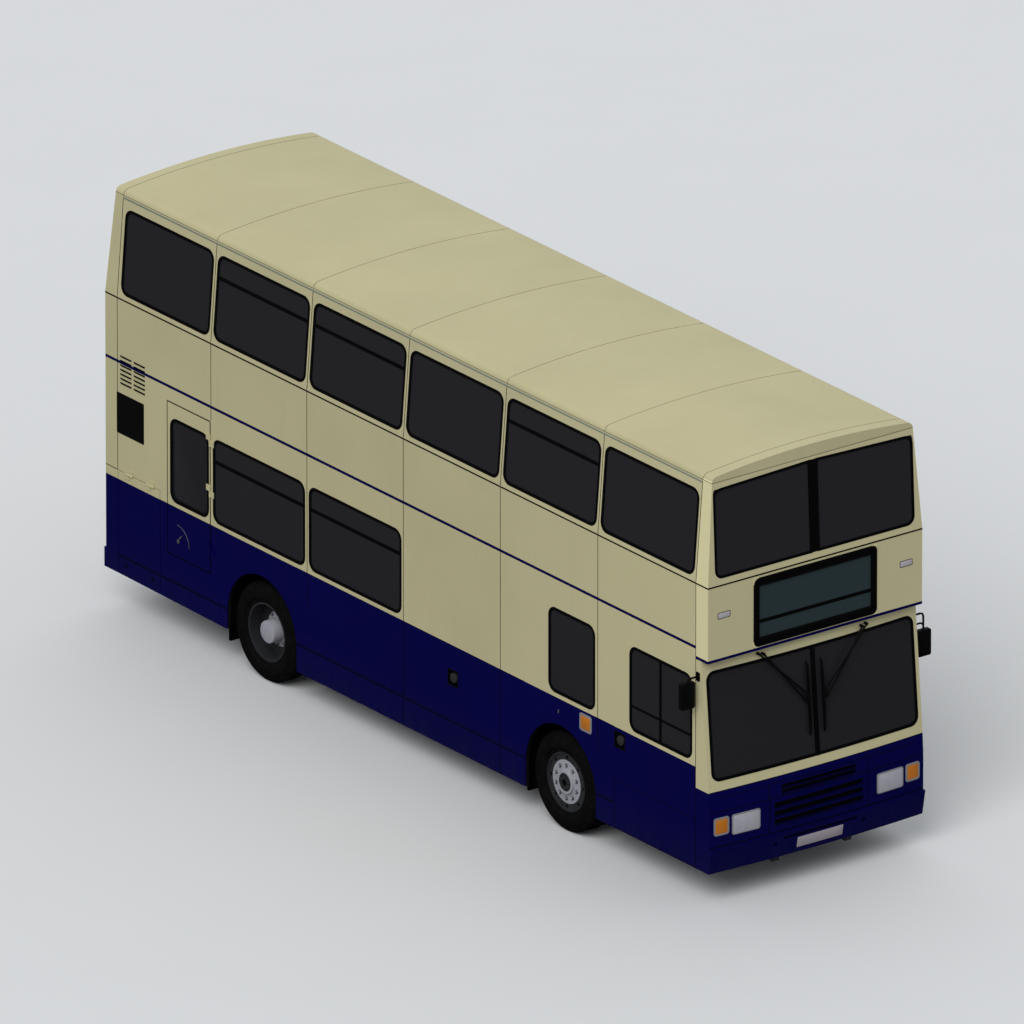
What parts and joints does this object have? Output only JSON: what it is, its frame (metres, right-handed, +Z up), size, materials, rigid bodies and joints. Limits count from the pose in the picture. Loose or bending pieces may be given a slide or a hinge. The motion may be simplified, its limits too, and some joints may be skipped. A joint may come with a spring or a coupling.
{
  "type": "double decker bus",
  "caption": "Rear-engined two-axle double decker bus with folding entrance doors, emergency door, engine covers, steered front wheels and twin rear wheels.",
  "frame": {"origin": "on the ground, under the middle of the bus's overall length and width", "axes": "+Z up, -Y forward (the bus faces -Y), +X to the nearside, the kerb side with the entrance"},
  "size_m": [2.97, 9.6898, 4.3899],
  "materials": {
    "cream_paint": "satin cream coachwork paint",
    "navy_paint": "satin dark blue coachwork paint",
    "chassis_black": "satin black chassis paint",
    "engine_grey": "matt grey cast block",
    "floor_covering": "speckled grey floor covering",
    "housing_black": "matt black",
    "lining_grey": "textured grey laminate",
    "glass_dark": "lightly tinted clear glass",
    "black_plastic": "satin black moulding",
    "seat_cloth": "blue moquette",
    "seat_metal": "satin steel tube",
    "rail_yellow": "yellow coated tube",
    "lamp_lens": "clear moulded lens",
    "wheel_silver": "silver wheel paint",
    "wheel_grey": "dark grey wheel paint",
    "tyre_black": "black rubber with grooves",
    "tank_metal": "black painted steel"
  },
  "bodies": {
    "body": {"chassis_frame": "chassis_black", "front_axle": "chassis_black", "rear_axle": "chassis_black", "fuel_tank": "tank_metal", "engine": "engine_grey", "lower_floor": "floor_covering", "upper_floor": "floor_covering", "wheel_arches": "housing_black", "bulkheads": "lining_grey", "offside_lower_side": "cream_paint", "nearside_lower_side": "cream_paint", "offside_upper_side": "cream_paint", "nearside_upper_side": "cream_paint", "roof": "cream_paint", "front_lower_panel": "navy_paint", "windscreen_surround": "cream_paint", "front_upper_panel": "cream_paint", "rear_lower_panel": "cream_paint", "rear_upper_panel": "cream_paint", "front_bumper": "navy_paint", "rear_bumper": "navy_paint", "windscreen": "glass_dark", "side_glass": "glass_dark", "end_glass": "glass_dark", "destination_box": "black_plastic", "staircase": "lining_grey", "cab_dashboard": "black_plastic", "driver_seat": "seat_cloth", "passenger_seats": "seat_cloth", "seat_frames": "seat_metal", "handrails": "rail_yellow", "mirrors": "black_plastic", "wipers": "black_plastic", "lamps": "lamp_lens"},
    "knuckle_nearside": {"knuckle_nearside": "chassis_black"},
    "knuckle_offside": {"knuckle_offside": "chassis_black"},
    "track_rod": {"track_rod": "chassis_black"},
    "steering_wheel": {"steering_wheel": "black_plastic"},
    "front_wheel_nearside": {"front_rim_nearside": "wheel_silver", "front_tyre_nearside": "tyre_black"},
    "front_wheel_offside": {"front_rim_offside": "wheel_silver", "front_tyre_offside": "tyre_black"},
    "rear_wheels_nearside": {"rear_rims_nearside": "wheel_grey", "rear_tyres_nearside": "tyre_black"},
    "rear_wheels_offside": {"rear_rims_offside": "wheel_grey", "rear_tyres_offside": "tyre_black"},
    "door_front_outer": {"door_front_outer": "cream_paint"},
    "door_front_inner": {"door_front_inner": "cream_paint"},
    "door_rear_inner": {"door_rear_inner": "cream_paint"},
    "door_rear_outer": {"door_rear_outer": "cream_paint"},
    "emergency_door": {"emergency_door": "cream_paint"},
    "engine_cover": {"engine_cover": "navy_paint"},
    "engine_flap_offside": {"engine_flap_offside": "navy_paint"},
    "engine_flap_nearside": {"engine_flap_nearside": "navy_paint"}
  },
  "joints": [
    {"name": "steer_nearside", "type": "hinge", "parent": "body", "child": "knuckle_nearside", "pos_m": [0.966, -2.43, 0.5], "axis": [0, 0, 1], "range_deg": [-38, 38]},
    {"name": "steer_offside", "type": "hinge", "parent": "body", "child": "knuckle_offside", "pos_m": [-0.966, -2.43, 0.5], "axis": [0, 0, 1], "range_deg": [-38, 38]},
    {"name": "track_rod_swing", "type": "hinge", "parent": "knuckle_nearside", "child": "track_rod", "pos_m": [0.966, -2.25, 0.375], "axis": [0, 0, 1], "range_deg": [-38, 38]},
    {"name": "steering_wheel_turn", "type": "hinge", "parent": "body", "child": "steering_wheel", "pos_m": [-0.7, -4.095, 1.345], "axis": [0, 0.2782, 0.9605], "range_deg": [-456, 456]},
    {"name": "spin_front_nearside", "type": "hinge", "parent": "knuckle_nearside", "child": "front_wheel_nearside", "pos_m": [1.108, -2.43, 0.5], "axis": [1, 0, 0], "continuous": true},
    {"name": "spin_front_offside", "type": "hinge", "parent": "knuckle_offside", "child": "front_wheel_offside", "pos_m": [-1.108, -2.43, 0.5], "axis": [1, 0, 0], "continuous": true},
    {"name": "spin_rear_nearside", "type": "hinge", "parent": "body", "child": "rear_wheels_nearside", "pos_m": [0.953, 2.315, 0.5], "axis": [1, 0, 0], "continuous": true},
    {"name": "spin_rear_offside", "type": "hinge", "parent": "body", "child": "rear_wheels_offside", "pos_m": [-0.953, 2.315, 0.5], "axis": [1, 0, 0], "continuous": true},
    {"name": "door_front_fold", "type": "hinge", "parent": "body", "child": "door_front_outer", "pos_m": [1.252, -4.489, 1.3515], "axis": [0, 0, 1], "range_deg": [0, 85]},
    {"name": "door_front_inner_fold", "type": "hinge", "parent": "door_front_outer", "child": "door_front_inner", "pos_m": [1.271, -4.2125, 1.3515], "axis": [0, 0, 1], "range_deg": [-170, 0]},
    {"name": "door_rear_fold", "type": "hinge", "parent": "body", "child": "door_rear_outer", "pos_m": [1.252, -3.331, 1.3515], "axis": [0, 0, -1], "range_deg": [0, 85]},
    {"name": "door_rear_inner_fold", "type": "hinge", "parent": "door_rear_outer", "child": "door_rear_inner", "pos_m": [1.271, -3.6075, 1.3515], "axis": [0, 0, -1], "range_deg": [-170, 0]},
    {"name": "emergency_door_swing", "type": "hinge", "parent": "body", "child": "emergency_door", "pos_m": [-1.285, 3.129, 1.64], "axis": [0, 0, 1], "range_deg": [0, 95]},
    {"name": "engine_cover_lift", "type": "hinge", "parent": "body", "child": "engine_cover", "pos_m": [0, 4.825, 1.456], "axis": [1, 0, 0], "range_deg": [0, 75]},
    {"name": "flap_offside_lift", "type": "hinge", "parent": "body", "child": "engine_flap_offside", "pos_m": [-1.285, 4.28, 1.456], "axis": [0, 1, 0], "range_deg": [0, 80]},
    {"name": "flap_nearside_lift", "type": "hinge", "parent": "body", "child": "engine_flap_nearside", "pos_m": [1.285, 4.28, 1.456], "axis": [0, -1, 0], "range_deg": [0, 80]}
  ],
  "couplings": [
    {"joint": "steer_offside", "follows": "steer_nearside", "ratio": 1},
    {"joint": "track_rod_swing", "follows": "steer_nearside", "ratio": -1},
    {"joint": "steering_wheel_turn", "follows": "steer_nearside", "ratio": 12},
    {"joint": "door_front_inner_fold", "follows": "door_front_fold", "ratio": -2},
    {"joint": "door_rear_inner_fold", "follows": "door_rear_fold", "ratio": -2}
  ]
}
